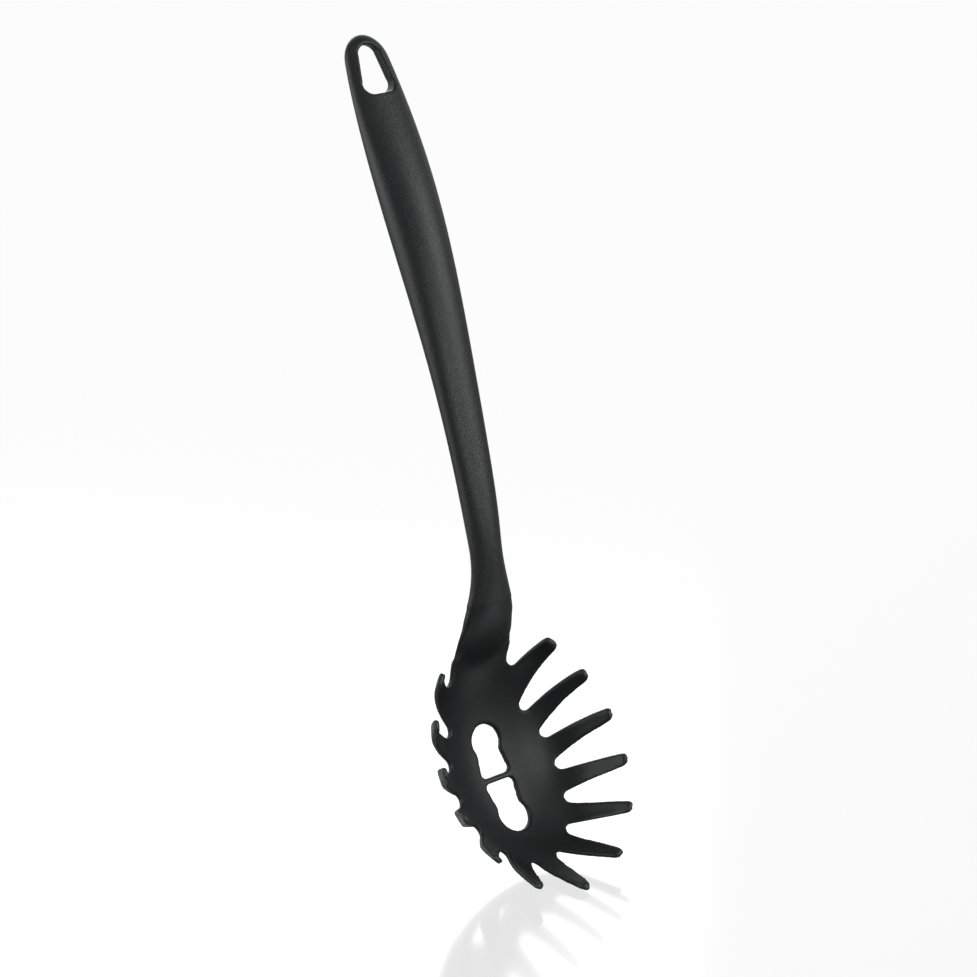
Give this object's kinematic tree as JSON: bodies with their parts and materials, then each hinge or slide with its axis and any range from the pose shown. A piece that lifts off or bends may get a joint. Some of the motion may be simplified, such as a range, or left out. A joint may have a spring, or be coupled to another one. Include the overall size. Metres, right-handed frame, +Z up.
{
  "type": "pasta server",
  "caption": "Black pasta server with a long grained handle, a hang hole, and a shallow oval bowl ringed with tines and pierced by two keyhole drain slots.",
  "frame": {"origin": "middle of the hang hole, on the part's mirror plane", "axes": "+Z up as the server hangs from its hole, the open bowl faces -Y, +X to the right seen from the front"},
  "size_m": [0.0816, 0.0448, 0.3151],
  "materials": {
    "head_plastic": "smooth satin black nylon",
    "handle_plastic": "fine-grained satin black"
  },
  "bodies": {
    "root": {"head": "head_plastic", "handle": "handle_plastic"}
  },
  "joints": []
}
